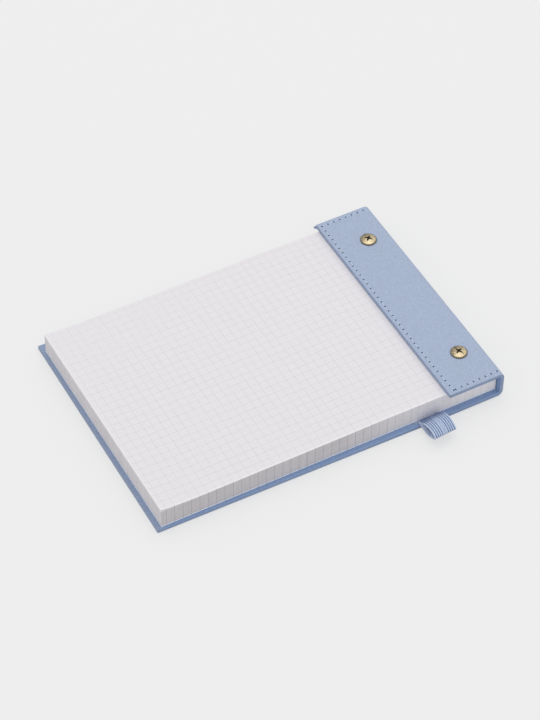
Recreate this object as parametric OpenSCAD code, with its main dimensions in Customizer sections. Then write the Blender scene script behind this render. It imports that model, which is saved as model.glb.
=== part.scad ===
// Landscape refill notebook: a block of squared paper held by two binding screws between the
// back and the short stitched flap of a one-piece leatherette case, with an elastic pen loop.
// The notebook lies on the plane z = 0. X runs from the free end of the pages to the spine,
// Y runs from the pen loop side to the far side. Sizes are in millimetres.

/* [Case] */
// Distance from the long sides of the sheets to the long edges of the case
side_margin = 3.7; // [2:0.1:8]
// Distance from the free end of the sheets to the free edge of the back
end_margin = 2.5; // [1:0.1:8]
// Thickness of the leatherette skin and of the lining
skin_thickness = 0.4; // [0.2:0.1:1]
// Thickness of the greyboard in the back, the spine and the flap
board_thickness = 1.7; // [1:0.1:3]
// Outer radius of the two long corners of the spine
corner_radius = 3.6; // [2.5:0.1:5]
// Width of the skin that is folded over onto the inside
turn_in = 12; // [6:1:20]
// Length of the flap, from its free edge to the outside of the spine
flap_length = 35.3; // [25:0.1:60]
// Angle by which the long edges of the back lie turned under the block, in degrees
back_turn = 0.85; // [0:0.05:1.5]
// Angle by which the free edge of the back lies turned under the block, in degrees
free_edge_turn = 0.3; // [0:0.05:1.5]
// Distance from the line of the flap's free edge to where the long edges start to turn
turn_inset = 10; // [4:1:30]

/* [Paper block] */
// Length of the sheets
page_length = 207.6; // [170:0.2:250]
// Width of the sheets
page_width = 143; // [110:1:190]
// Thickness of the clamped block
block_thickness = 12.6; // [6:0.2:25]
// Free space between the block and the inside of the spine
spine_gap = 0.4; // [0.3:0.1:4]
// Height by which the loose sheets rise at the free end
free_end_rise = 1.5; // [0:0.1:3]
// Length of the stretch over which they rise
free_end_stretch = 26; // [15:1:60]
// Height of the soft wave in front of the flap
wave_height = 0.4; // [0:0.1:1]
// Length of the soft wave
wave_length = 60; // [40:1:80]

/* [Binding screws] */
// Distance between the two screws
screw_spacing = 100; // [60:1:130]
// Distance from the screws to the outside of the spine
screw_inset = 14.4; // [10:0.2:20]
// Diameter of the screw heads and of the post heads
head_diameter = 9.5; // [8:0.1:12]
// Height of the domed screw head
screw_head_height = 1.6; // [1.2:0.1:2.5]
// Height of the rim below the dome
screw_head_rim = 0.4; // [0.2:0.1:0.8]
// Height of the flat post head under the back
post_head_height = 1.2; // [0.8:0.1:1.8]
// Outer diameter of the post
post_diameter = 5; // [4:0.1:6]
// Diameter of the screw's shank
shank_diameter = 3.2; // [2.5:0.1:4]
// Length of the screw's shank
shank_length = 7; // [5:0.5:9]
// Length across the arms of the cross recess, at the top of the head
recess_length = 4.4; // [3:0.1:6]
// Width of the cross recess in the middle, where its arms meet
recess_width = 1.2; // [0.8:0.1:1.6]
// Width of the arms at their ends
recess_tip_width = 0.5; // [0.3:0.1:0.8]
// Depth of the cross recess
recess_depth = 1.2; // [0.6:0.1:1.4]
// Diameter of the bottom of the cross recess
recess_bottom = 1.4; // [1:0.1:2.4]
// Angle by which the recess of the near screw is turned, in degrees
near_recess_turn = 23; // [0:1:90]
// Angle by which the recess of the far screw is turned, in degrees
far_recess_turn = 41; // [0:1:90]
// Distance from the top of the flap down to the end of the post
post_short_fall = 0.8; // [0.4:0.1:1.5]
// Depth of the bore past the end of the shank
bore_spare = 1; // [0.5:0.5:2]

/* [Pen loop] */
// Width of the elastic
loop_width = 14.6; // [10:0.2:25]
// Distance from the loop to the line of the flap's free edge
loop_inset = 3.6; // [0:0.1:10]
// Thickness of the elastic
elastic_thickness = 0.8; // [0.5:0.1:1.2]
// Reach of the loop, from the near face of the block
loop_reach = 19.4; // [14:0.2:24]
// Height of the loop above the inside of the back
loop_height = 7.5; // [6:0.1:12]
// Length of the two ends of the elastic under the block
tail_length = 12; // [8:1:16]
// Thickness of the two ends, pressed together in a seat in the inside of the back
tail_thickness = 1; // [0.8:0.1:1.2]
// Length of the seat in front of the block, where the elastic rises out of it
seat_reach = 1.6; // [1.2:0.1:1.8]

/* [Clearances] */
// Clearance round a post in the case, on the radius
case_hole_clearance = 0.1; // [0.05:0.05:0.3]
// Clearance round a post in the paper, on the radius
paper_hole_clearance = 0.4; // [0.1:0.1:1]
// Clearance round the shank in the post's bore, on the radius
thread_clearance = 0.1; // [0.05:0.05:0.2]
// Clearance round the ends of the elastic in their seat
tail_clearance = 0.1; // [0.05:0.05:0.3]
// Clearance between the loop and the faces that it passes
loop_clearance = 0.05; // [0.05:0.05:0.2]
// Depth of the post heads below the outer face of the back
head_clearance = 0.1; // [0.05:0.05:0.3]

/* [Hidden] */
$fn = 64;

// The case
panel_thickness = board_thickness + 2 * skin_thickness;
cover_length = end_margin + page_length + spine_gap + panel_thickness;
cover_width = page_width + 2 * side_margin;
spine_x = cover_length / 2;
free_x = -cover_length / 2;
flap_x = spine_x - flap_length;
case_height = block_thickness + 2 * panel_thickness;
inner_depth = panel_thickness - skin_thickness;
screw_x = spine_x - screw_inset;
// The long edges of the back are turned up to here and square to the spine past it
pivot_x = flap_x - turn_inset;
// The layers of the back join those of the spine here, just short of the round corner
corner_margin = 1;
back_end = spine_x - corner_radius - corner_margin;

// The paper block
page_start = free_x + end_margin;
page_end = page_start + page_length;
page_steps = 32;
wave_x = pivot_x - wave_length / 2;

// The pen loop
loop_end = flap_x - loop_inset;
loop_start = loop_end - loop_width;
block_face = -page_width / 2;
loop_steps = 4;
loop_slope_step = 0.02;

// The seats of the post heads in the back
seat_height = post_head_height + head_clearance;

// How far a cutting shape runs past the face that it cuts
cut = 1;

blue = [0.66, 0.71, 0.81];
shade_blue = [0.45, 0.53, 0.68];
grey_board = [0.62, 0.60, 0.56];
paper_white = [0.93, 0.93, 0.94];
brass = [0.72, 0.60, 0.38];

// The rise of the top sheet above the flat block
function free_rise(s) =
    let (t = max(0, 1 - (s - page_start) / free_end_stretch))
    free_end_rise * t * t;
function wave_rise(s) =
    let (t = max(-1, min(1, (s - wave_x) / (wave_length / 2))))
    wave_height * (1 + cos(180 * t)) / 2;
function page_top(s) = panel_thickness + block_thickness + free_rise(s) + wave_rise(s);

// The outside of the free part of the pen loop, as shares of its reach and height: out along the
// level of the back, round the tip and back over the top
loop_shares = [[0.28, 0.01], [0.53, 0.01], [0.69, 0.05], [0.85, 0.21], [0.96, 0.45], [1.00, 0.65],
    [0.97, 0.83], [0.89, 0.95], [0.74, 1.00], [0.56, 0.95], [0.38, 0.77], [0.22, 0.53]];
// Its two roots rise out of the seat, one on the other
lower_root = [[-seat_reach, loop_clearance - tail_thickness],
    [0.3 * seat_reach, loop_clearance - 0.9 * tail_thickness], [0.9 * seat_reach, loop_clearance]];
upper_root = [[1.2 * seat_reach, 2.3 * elastic_thickness], [0.45 * seat_reach, elastic_thickness],
    [0, -loop_clearance], [-seat_reach, -loop_clearance]];
loop_points = concat(lower_root,
    [for (p = loop_shares) [p[0] * loop_reach, p[1] * loop_height]],
    upper_root);
last_point = len(loop_points) - 1;
// The hollow starts and ends this many points from the ends of the outline
hollow_from_start = 2.5;
hollow_from_end = 3.5;
function loop_point(i) = loop_points[max(0, min(last_point, i))];

// A smooth curve through the loop's points, t from 0 to 1 between the points i and i + 1
function smooth(i, t) =
    let (a = loop_point(i - 1), b = loop_point(i), c = loop_point(i + 1), d = loop_point(i + 2))
    0.5 * (2 * b + (c - a) * t + (2 * a - 5 * b + 4 * c - d) * t * t
        + (3 * b - a - 3 * c + d) * t * t * t);
function loop_curve(u) =
    let (i = min(last_point - 1, floor(u)))
    smooth(i, u - i);
function loop_inward(u) =
    let (d = loop_curve(u + loop_slope_step) - loop_curve(u - loop_slope_step))
    [-d[1], d[0]] / norm(d);
loop_outside = [for (k = [0 : last_point * loop_steps]) loop_curve(k / loop_steps)];
loop_inside = [
    for (k = [hollow_from_start * loop_steps : (last_point - hollow_from_end) * loop_steps])
        loop_curve(k / loop_steps) + loop_inward(k / loop_steps) * elastic_thickness
];

// A point turned about the middle of an outline
function turned(p, a) = [p[0] * cos(a) - p[1] * sin(a), p[0] * sin(a) + p[1] * cos(a)];

// Draws an outline of the section right across the notebook
module across(width) {
    rotate([90, 0, 0])
        linear_extrude(height = width, center = true)
            children();
}

// The plan of the back, set in from its edges
module back_plan(inset) {
    half = cover_width / 2 - inset;
    near_y = -half + (pivot_x - free_x) * tan(back_turn);
    far_y = half + (pivot_x - free_x) * tan(back_turn);
    left_x = free_x + inset;
    polygon([
        [spine_x - corner_radius, -half],
        [spine_x - corner_radius, half],
        [pivot_x, half],
        [left_x + far_y * tan(free_edge_turn), far_y],
        [left_x + near_y * tan(free_edge_turn), near_y],
        [pivot_x, -half]
    ]);
}

// One layer of the back, between two heights
module back_layer(low, high, inset) {
    translate([0, 0, low])
        linear_extrude(height = high - low)
            back_plan(inset);
}

// The outline of the spine and the flap, set in by a depth: its two long corners are round
// outside the boards and square inside them
module end_outline(depth, flap_end) {
    round_depth = depth < panel_thickness / 2 ? corner_radius : depth;
    round_x = spine_x - round_depth;
    translate([flap_end, depth])
        square([round_x - flap_end, case_height - 2 * depth]);
    if (round_depth > depth) {
        translate([round_x - cut, round_depth])
            square([round_depth - depth + cut, case_height - 2 * round_depth]);
        for (z = [round_depth, case_height - round_depth])
            translate([round_x, z])
                circle(r = round_depth - depth);
    }
}

// One layer of the spine and the flap in section
module end_layer(outer, inner, flap_end) {
    difference() {
        end_outline(outer, flap_end);
        translate([flap_end - cut, inner])
            square([spine_x - inner - flap_end + cut, case_height - 2 * inner]);
        translate([flap_end - cut, -cut])
            square([back_end - flap_end + cut, case_height / 2 + cut]);
    }
}

// One layer of the whole case, between two depths under its outer face
module case_layer(outer, inner, inset) {
    back_layer(outer, inner, inset);
    across(cover_width - 2 * inset)
        end_layer(outer, inner, flap_x + inset);
}

// The board layer of the spine and the flap, between two heights
module end_board(low, high) {
    across(cover_width - 2 * skin_thickness)
        intersection() {
            end_layer(skin_thickness, inner_depth, flap_x + skin_thickness);
            translate([flap_x, low])
                square([flap_length + cut, high - low]);
        }
}

// Both screw places
module at_screws() {
    for (y = [-screw_spacing / 2, screw_spacing / 2])
        translate([screw_x, y, 0])
            children();
}

module post_holes(clearance) {
    at_screws()
        translate([0, 0, -cut])
            cylinder(d = post_diameter + 2 * clearance, h = case_height + 2 * cut);
}

// The holes of the posts, with the seats of their heads in the underside of the back
module seated_holes() {
    hole = post_diameter / 2 + case_hole_clearance;
    seat = head_diameter / 2 + case_hole_clearance;
    at_screws()
        rotate_extrude()
            polygon([
                [0, -cut],
                [seat, -cut],
                [seat, seat_height],
                [hole, seat_height],
                [hole, case_height + cut],
                [0, case_height + cut]
            ]);
}

// The seat of the elastic's two ends in the inside of the back
module loop_seat() {
    translate([
        loop_start - tail_clearance,
        block_face - seat_reach,
        panel_thickness - tail_thickness
    ])
        cube([
            loop_width + 2 * tail_clearance,
            seat_reach + tail_length + tail_clearance,
            tail_thickness + cut
        ]);
}

module cover_skin() {
    color(blue)
        difference() {
            case_layer(0, panel_thickness, 0);
            case_layer(skin_thickness, inner_depth, skin_thickness);
            case_layer(inner_depth, panel_thickness + cut, turn_in);
            seated_holes();
            loop_seat();
        }
}

module back_board() {
    color(grey_board)
        difference() {
            union() {
                back_layer(skin_thickness, inner_depth, skin_thickness);
                end_board(0, inner_depth);
            }
            seated_holes();
            loop_seat();
        }
}

module spine_board() {
    color(grey_board)
        end_board(inner_depth, case_height - inner_depth);
}

module flap_board() {
    color(grey_board)
        difference() {
            end_board(case_height - inner_depth, case_height);
            post_holes(case_hole_clearance);
        }
}

module lining() {
    color(shade_blue)
        difference() {
            case_layer(inner_depth, panel_thickness, turn_in);
            post_holes(case_hole_clearance);
            loop_seat();
        }
}

// The top of the block in section: it rises at the free end and waves in front of the flap
module page_section() {
    places = concat(
        [for (i = [0 : page_steps]) page_start + (flap_x - page_start) * i / page_steps],
        [page_end]);
    polygon(concat(
        [[page_end, panel_thickness], [page_start, panel_thickness]],
        [for (s = places) [s, page_top(s)]]));
}

module paper_block() {
    color(paper_white)
        difference() {
            across(page_width)
                page_section();
            post_holes(paper_hole_clearance);
        }
}

// The cross recess: four arms that narrow towards their ends, in a cone that narrows downwards
module cross_recess() {
    widening = (recess_length - recess_bottom) / recess_depth;
    arm = [
        [recess_length + widening * cut, -recess_tip_width] / 2,
        [recess_length + widening * cut, recess_tip_width] / 2,
        [recess_width, recess_width] / 2
    ];
    translate([0, 0, screw_head_height - recess_depth])
        intersection() {
            cylinder(d1 = recess_bottom, d2 = recess_length + widening * cut, h = recess_depth + cut);
            linear_extrude(height = recess_depth + cut)
                polygon([for (a = [0 : 90 : 270], p = arm) turned(p, a)]);
        }
}

// The domed head with its cross recess, standing on z = 0
module screw_head(turn) {
    dome = screw_head_height - screw_head_rim;
    dome_radius = (pow(head_diameter / 2, 2) + pow(dome, 2)) / (2 * dome);
    difference() {
        intersection() {
            cylinder(d = head_diameter, h = screw_head_height + cut);
            translate([0, 0, screw_head_height - dome_radius])
                sphere(r = dome_radius);
        }
        rotate(turn)
            cross_recess();
    }
}

module binding_screw(turn) {
    translate([0, 0, case_height])
        screw_head(turn);
    translate([0, 0, case_height - shank_length])
        cylinder(d = shank_diameter, h = shank_length + screw_head_rim);
}

module binding_screws() {
    color(brass) {
        translate([screw_x, -screw_spacing / 2, 0])
            binding_screw(near_recess_turn);
        translate([screw_x, screw_spacing / 2, 0])
            binding_screw(far_recess_turn);
    }
}

module binding_posts() {
    bore_depth = shank_length + bore_spare;
    color(brass)
        at_screws()
            difference() {
                union() {
                    translate([0, 0, head_clearance])
                        cylinder(d = head_diameter, h = post_head_height);
                    translate([0, 0, head_clearance])
                        cylinder(d = post_diameter,
                            h = case_height - post_short_fall - head_clearance);
                }
                translate([0, 0, case_height - bore_depth])
                    cylinder(d = shank_diameter + 2 * thread_clearance, h = bore_depth);
            }
}

module pen_loop() {
    color(blue) {
        translate([loop_start, block_face, panel_thickness - tail_thickness])
            cube([loop_width, tail_length, tail_thickness]);
        translate([(loop_start + loop_end) / 2, block_face, panel_thickness])
            rotate([90, 0, -90])
                linear_extrude(height = loop_width, center = true)
                    difference() {
                        polygon(loop_outside);
                        polygon(loop_inside);
                    }
    }
}

cover_skin();
back_board();
spine_board();
flap_board();
lining();
paper_block();
binding_screws();
binding_posts();
pen_loop();
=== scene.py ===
"""Landscape refill notebook: a block of squared paper held by two binding screws between the back
and the stitched flap of a leatherette case, with a ribbed elastic pen loop, in a plain pale studio."""

import math
from functools import partial

import bmesh
import bpy
import numpy as np
from mathutils import Matrix, Vector, noise


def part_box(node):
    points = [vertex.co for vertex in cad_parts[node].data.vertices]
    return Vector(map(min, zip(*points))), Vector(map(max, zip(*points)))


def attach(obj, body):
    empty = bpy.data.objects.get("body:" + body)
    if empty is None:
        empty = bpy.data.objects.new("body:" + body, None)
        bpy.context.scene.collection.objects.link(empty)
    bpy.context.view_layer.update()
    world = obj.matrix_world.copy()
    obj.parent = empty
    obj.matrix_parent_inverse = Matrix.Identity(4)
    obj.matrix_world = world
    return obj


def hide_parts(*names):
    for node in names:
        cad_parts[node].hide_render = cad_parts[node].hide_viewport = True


bl_info = {
    "name": "Refill Notebook",
    "version": (1, 0, 0),
    "blender": (4, 5, 0),
    "location": "View3D > Sidebar > Notebook",
    "description": "Builds a squared refill notebook with a stitched leatherette case and its studio",
    "category": "Object",
}

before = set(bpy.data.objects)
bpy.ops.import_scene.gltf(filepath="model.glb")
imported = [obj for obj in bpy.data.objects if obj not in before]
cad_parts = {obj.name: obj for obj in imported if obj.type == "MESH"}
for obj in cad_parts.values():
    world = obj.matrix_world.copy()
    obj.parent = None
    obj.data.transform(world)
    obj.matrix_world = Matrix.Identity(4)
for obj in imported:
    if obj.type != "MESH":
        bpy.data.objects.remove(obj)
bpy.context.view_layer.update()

MM = 0.001
BODY = "root"

# The case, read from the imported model
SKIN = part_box("back_board")[0].z
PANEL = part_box("paper_block")[0].z
CASE_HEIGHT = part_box("cover_skin")[1].z
SPINE_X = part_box("cover_skin")[1].x
FREE_X = -SPINE_X
HALF_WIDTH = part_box("flap_board")[1].y + SKIN
FLAP_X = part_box("flap_board")[0].x - SKIN
LINING_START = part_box("lining")[0].x
LINING_HALF = -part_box("lining")[0].y
FLAP_LINING_START = FLAP_X + 12 * MM

# The paper block and the screws
PAGE_START, PAGE_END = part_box("paper_block")[0].x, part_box("paper_block")[1].x
PAGE_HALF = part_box("paper_block")[1].y
BLOCK_TOP = CASE_HEIGHT - PANEL
POST_LOW, POST_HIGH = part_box("binding_posts")
HEAD_RADIUS = (POST_HIGH.x - POST_LOW.x) / 2
SCREW_X = (POST_HIGH.x + POST_LOW.x) / 2
SCREW_Y = POST_HIGH.y - HEAD_RADIUS
HEAD_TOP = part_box("binding_screws")[1].z
POST_HEAD_HEIGHT = 1.2 * MM
DOME_HEIGHT = 1.2 * MM
NEAR_RECESS_TURN, FAR_RECESS_TURN = math.radians(23), math.radians(41)

# The recess's arms: half their width in the middle, how fast they narrow, and how far they reach
ARM_HALF_WIDTH, ARM_TAPER, ARM_REACH = 0.62 * MM, 0.14, 2.35 * MM
SLIP_HALF_WIDTH, SLIP_REACH = 0.3 * MM, 3.1 * MM

# The print's own frame: turned and shifted a little against the cut sheets
PRINT_TURN = math.radians(0.1)
PRINT_SHIFT = (100.8 * MM, 65.95 * MM, 0)
PRINT_STRENGTH = 0.55

# The pen loop and its seat in the back
LOOP_LOW, LOOP_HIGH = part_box("pen_loop")
SEAT_REACH = 1.6 * MM

# How the case lies on the block, as in the model's source
CORNER_RADIUS = 3.6 * MM
PIVOT_X = FLAP_X - 10 * MM
BACK_TURN = math.radians(0.85)
FREE_EDGE_TURN = math.radians(0.3)

# Points closer than this count as one
CLOSE = 0.01 * MM


# Sizes and colours that a user would change

def length_prop(name, description, millimetres):
    """A length, given in millimetres."""
    return bpy.props.FloatProperty(name=name, description=description, default=millimetres * MM,
                                   unit="LENGTH")


def color_prop(name, description, *default):
    """A colour, given as linear red, green and blue."""
    return bpy.props.FloatVectorProperty(name=name, description=description, default=default,
                                         subtype="COLOR")


def share_prop(name, description, default):
    """A share from 0 to 1."""
    return bpy.props.FloatProperty(name=name, description=description, default=default,
                                   min=0, max=1)


def angle_prop(name, description, degrees):
    """An angle, given in degrees."""
    return bpy.props.FloatProperty(name=name, description=description,
                                   default=math.radians(degrees), unit="ROTATION")


class CaseSettings(bpy.types.PropertyGroup):
    """The leatherette case"""
    edge_radius: length_prop(
        "Edge radius", "Radius of the leatherette where it folds over a board's edge", 0.6)
    inner_radius: length_prop(
        "Inner corner radius", "Radius in the two inner corners of the spine", 0.35)
    groove_depth: length_prop(
        "Groove depth", "Depth to which the thread pulls the leatherette down", 0.16)
    groove_width: length_prop(
        "Groove width", "Width of the pulled groove on each side of the thread", 0.7)
    face_color: color_prop("Face colour", "Colour of the wide outer faces", 0.384, 0.460, 0.610)
    # The edge and inner colours are darker than the face colour: painted shade on the folded edges, the
    # inside and the lining
    shaded_edge_color: color_prop("Edge colour", "Colour of the flap's folded edges", 0.275, 0.345, 0.490)
    inner_shade_color: color_prop(
        "Inner colour", "Colour of the back's edges, the inside and the lining", 0.240, 0.345, 0.565)
    board_color: color_prop("Board colour", "Colour of the greyboard", 0.34, 0.32, 0.28)


class StitchSettings(bpy.types.PropertyGroup):
    """The stitching round the flap"""
    pitch: length_prop("Pitch", "Distance between two needle holes", 4.03)
    thread_diameter: length_prop("Thread diameter", "Diameter of the sewing thread", 0.5)
    hole_diameter: length_prop("Needle hole", "Diameter of a needle hole at the surface", 1.2)
    hole_depth: length_prop("Hole depth", "Depth of a needle hole", 0.37)
    gap: length_prop("Gap", "Length of thread that dips into the holes at a stitch's two ends", 1.35)
    color: color_prop("Thread colour", "Colour of the sewing thread", 0.60, 0.70, 0.87)
    # The hole colour is painted shade inside the needle holes
    hole_shade_color: color_prop("Hole colour", "Colour inside the needle holes", 0.055, 0.090, 0.180)


class PaperSettings(bpy.types.PropertyGroup):
    """The squared paper block"""
    free_end_rise: length_prop("Rise", "Height by which the loose sheets rise at the free end", 1.35)
    near_corner_rise: length_prop("Corner rise", "Further rise at the near corner", 0.2)
    free_end_stretch: length_prop("Stretch", "Length over which the sheets rise", 26)
    wave_height: length_prop("Wave", "Height of the soft wave in front of the flap", 0.4)
    sheet_offset: length_prop("Sheet offset", "How far the sheets' edges stand out of line", 0.05)
    square: length_prop("Square", "Side of a printed square", 5)
    line_width: length_prop("Line width", "Width of a printed line", 0.22)
    bleed_width: length_prop("Bleed width", "Width of a printed line in the fore edge", 0.35)
    dot_pitch: length_prop("Dot pitch", "Distance between the dots of a printed line", 1)
    color: color_prop("Paper colour", "Colour of the sheets", 0.815, 0.790, 0.818)
    # The cut edge colour is darker than the sheets' colour: painted shade
    shaded_edge_color: color_prop("Cut edge colour", "Colour of the cut edges of the block", 0.65, 0.63, 0.65)
    # The top sheet's outermost edge has a painted highlight
    rim_highlight_color: color_prop("Rim highlight colour", "Colour of the top sheet's outermost edge", 0.93, 0.905, 0.92)
    foot_color: color_prop("Foot colour", "Colour of the lowest sheets' cut edges", 0.90, 0.93, 0.97)
    ink_color: color_prop("Ink colour", "Colour of the printed lines", 0.36, 0.34, 0.38)


class LoopSettings(bpy.types.PropertyGroup):
    """The elastic pen loop"""
    thickness: length_prop("Thickness", "Thickness of the elastic", 1)
    slip: length_prop("Slip", "How far the upper end sits towards the flap from the lower one", 1)
    rib_height: length_prop("Rib height", "Height of the woven ribs", 0.3)
    rib_count: bpy.props.IntProperty(
        name="Ribs", description="Number of ribs on each side of the smooth band", default=4)
    color: color_prop("Elastic colour", "Colour of the ribs and the smooth band", 0.55, 0.64, 0.82)
    # The groove colour is painted shade between the ribs
    groove_shade_color: color_prop(
        "Groove colour", "Colour of the elastic between the ribs", 0.10, 0.165, 0.34)


class BrassSettings(bpy.types.PropertyGroup):
    """The binding screws and posts"""
    color: color_prop("Brass colour", "Colour of the polished middle of the heads", 0.80, 0.66, 0.42)
    # This dark colour also paints one side of each head darker: painted reflection
    patina_and_shade_color: color_prop(
        "Patina colour", "Colour of the dark rim and the recess", 0.045, 0.038, 0.030)
    roughness: share_prop("Roughness", "Roughness of the brass", 0.34)


class StageSettings(bpy.types.PropertyGroup):
    """The floor, the light and the camera"""
    floor_color: color_prop(
        "Floor colour", "Colour of the floor as the camera sees it", 0.863, 0.863, 0.863)
    bounce_color: color_prop(
        "Bounce colour", "Colour with which the floor lights the object from below", 0.68, 0.68, 0.69)
    sky_strength: bpy.props.FloatProperty(
        name="Sky strength", description="Strength of the even light from all round", default=0.80)
    key_strength: bpy.props.FloatProperty(
        name="Key strength", description="Share of light that the large lamp overhead gives",
        default=0.24)
    floor_glow: share_prop("Floor glow", "Share of the floor's colour that shows without shading", 0.68)
    focal_length: bpy.props.FloatProperty(
        name="Focal length", description="Focal length of the camera in millimetres", default=130)
    azimuth: angle_prop("Azimuth", "Direction from which the camera looks", -29.067)
    elevation: angle_prop("Elevation", "Height of the camera above the horizon", 47.609)
    roll: angle_prop("Roll", "Turn of the camera about its own axis", 0.651)
    place: bpy.props.FloatVectorProperty(
        name="Place", description="Place of the camera", subtype="TRANSLATION",
        default=(-0.47297, -0.85136, 1.07765))


class NotebookSettings(bpy.types.PropertyGroup):
    """All settings of the notebook"""
    case: bpy.props.PointerProperty(type=CaseSettings)
    stitch: bpy.props.PointerProperty(type=StitchSettings)
    paper: bpy.props.PointerProperty(type=PaperSettings)
    loop: bpy.props.PointerProperty(type=LoopSettings)
    brass: bpy.props.PointerProperty(type=BrassSettings)
    stage: bpy.props.PointerProperty(type=StageSettings)


# Small helpers for meshes

def new_object(name, mesh):
    """Links a mesh as an object at the origin."""
    made = bpy.data.objects.new(name, mesh)
    bpy.context.scene.collection.objects.link(made)
    return made


def mesh_from(name, points, faces, sharp_angle=35):
    """A closed mesh with outward normals, smooth but for its sharp edges."""
    mesh = bpy.data.meshes.new(name)
    mesh.from_pydata([tuple(p) for p in points], [], faces)
    shell = bmesh.new()
    shell.from_mesh(mesh)
    bmesh.ops.recalc_face_normals(shell, faces=shell.faces)
    shell.to_mesh(mesh)
    shell.free()
    smooth(mesh, sharp_angle)
    return mesh


def smooth(mesh, sharp_angle=35):
    """Shades a mesh smooth, except across edges that turn by more than an angle."""
    mesh.shade_smooth()
    mesh.set_sharp_from_angle(angle=math.radians(sharp_angle))


def grid_faces(rows, columns, start=0, closed=False):
    """Quads between the rows of a grid of points; a closed grid joins its last column to its first."""
    faces = []
    for i in range(rows - 1):
        for j in range(columns if closed else columns - 1):
            a = start + i * columns + j
            b = start + i * columns + (j + 1) % columns
            faces.append((a, b, b + columns, a + columns))
    return faces


def stack_faces(rings, count):
    """The faces of a stack of closed rings of points, with one face over each end."""
    last = (rings - 1) * count
    return [*grid_faces(rings, count, closed=True), tuple(range(count)), tuple(range(last, last + count))]


def grid_border(rows, columns):
    """The points round the border of a grid, in order."""
    return [*range(columns), *range(2 * columns - 1, rows * columns, columns),
            *range(rows * columns - 2, (rows - 1) * columns - 1, -1),
            *range((rows - 2) * columns, 0, -columns)]


def ring_faces(lower, upper):
    """Quads between two closed rings of points."""
    following = zip(lower[1:] + lower[:1], upper[1:] + upper[:1])
    return [(a, c, d, b) for a, b, (c, d) in zip(lower, upper, following)]


def evaluated_mesh(thing):
    """The mesh of an object with its modifiers applied."""
    graph = bpy.context.evaluated_depsgraph_get()
    return bpy.data.meshes.new_from_object(thing.evaluated_get(graph), depsgraph=graph)


def ramp(value, low, high):
    """Runs smoothly from 0 at low to 1 at high."""
    t = np.clip((np.asarray(value, float) - low) / (high - low), 0, 1)
    return t * t * (3 - 2 * t)


def spread(low, high, step):
    """Evenly spaced places from low to high, about a step apart."""
    return list(np.linspace(low, high, max(2, round((high - low) / step) + 1)))


def smooth_path(points, steps):
    """A smooth curve through points, with a number of steps between each two."""
    fixed = [np.array(p, float) for p in (points[0], *points, points[-1])]
    curve = []
    for a, b, c, d in zip(fixed, fixed[1:], fixed[2:], fixed[3:]):
        for k in range(steps):
            t = k / steps
            curve.append(0.5 * (2 * b + (c - a) * t + (2 * a - 5 * b + 4 * c - d) * t * t
                                + (3 * b - a - 3 * c + d) * t ** 3))
    return np.array([*curve, fixed[-1]])


def paint(node, material):
    """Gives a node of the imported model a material."""
    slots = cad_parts[node].data.materials
    slots.clear()
    slots.append(material)


def float_attribute(mesh, name, values):
    """Stores one number per vertex."""
    layer = mesh.attributes.new(name, "FLOAT", "POINT")
    layer.data.foreach_set("value", np.asarray(values, np.float32))


# Small helpers for node trees

def feed(tree, node, inputs):
    """Links a node's inputs to sockets or sets them to values; a colour may leave out its alpha."""
    for name, value in inputs.items():
        socket = node.inputs[name]
        if isinstance(value, bpy.types.NodeSocket):
            tree.links.new(value, socket)
        elif socket.type == "RGBA" and len(value) == 3:
            socket.default_value = (*value, 1)
        else:
            socket.default_value = value


def add(tree, kind, inputs=None, **settings):
    """A node with its settings and its inputs."""
    made = tree.nodes.new(kind)
    for name, value in settings.items():
        setattr(made, name, value)
    feed(tree, made, inputs or {})
    return made


def calc(tree, operation, first, *others):
    """The result of a Math node, or of a chain of them for more than two values."""
    if len(others) > 1:
        first = calc(tree, operation, first, *others[:-1])
    values = dict(enumerate((first, *others[-1:])))
    return add(tree, "ShaderNodeMath", values, operation=operation).outputs[0]


def mix_color(tree, factor, first, second, blend="MIX"):
    """The result of mixing two colours."""
    return add(tree, "ShaderNodeMix", {0: factor, 6: first, 7: second}, data_type="RGBA",
               blend_type=blend).outputs[2]


def toned(tree, base, shade):
    """A colour made lighter or darker by a factor."""
    gray = add(tree, "ShaderNodeCombineColor", {"Red": shade, "Green": shade, "Blue": shade})
    return mix_color(tree, 1.0, base, gray.outputs[0], "MULTIPLY")


def remap(tree, value, low, high, new_low=0.0, new_high=1.0):
    """A value's range mapped onto another, smoothly and clamped."""
    return add(tree, "ShaderNodeMapRange", {"Value": value, "From Min": low, "From Max": high,
                                            "To Min": new_low, "To Max": new_high},
               interpolation_type="SMOOTHSTEP").outputs["Result"]


def cloudy(tree, place, scale, detail, stretch=None, roughness=0.5):
    """A noise texture, drawn out along the axes where it has a stretch."""
    if stretch:
        place = add(tree, "ShaderNodeMapping", {"Vector": place, "Scale": stretch}).outputs[0]
    return add(tree, "ShaderNodeTexNoise", {"Vector": place, "Scale": scale, "Detail": detail,
                                            "Roughness": roughness}).outputs["Fac"]


def coordinates(tree, vector):
    """The x, y and z of a vector."""
    return add(tree, "ShaderNodeSeparateXYZ", {"Vector": vector}).outputs


def stored(tree, name):
    """A number that the mesh stores per vertex."""
    return add(tree, "ShaderNodeAttribute", attribute_name=name).outputs["Fac"]


def bump(tree, shader, height, distance, strength=1.0):
    """Feeds a height into a shader's normal."""
    made = add(tree, "ShaderNodeBump", {"Height": height, "Distance": distance,
                                        "Strength": strength})
    feed(tree, shader, {"Normal": made.outputs["Normal"]})


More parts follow.
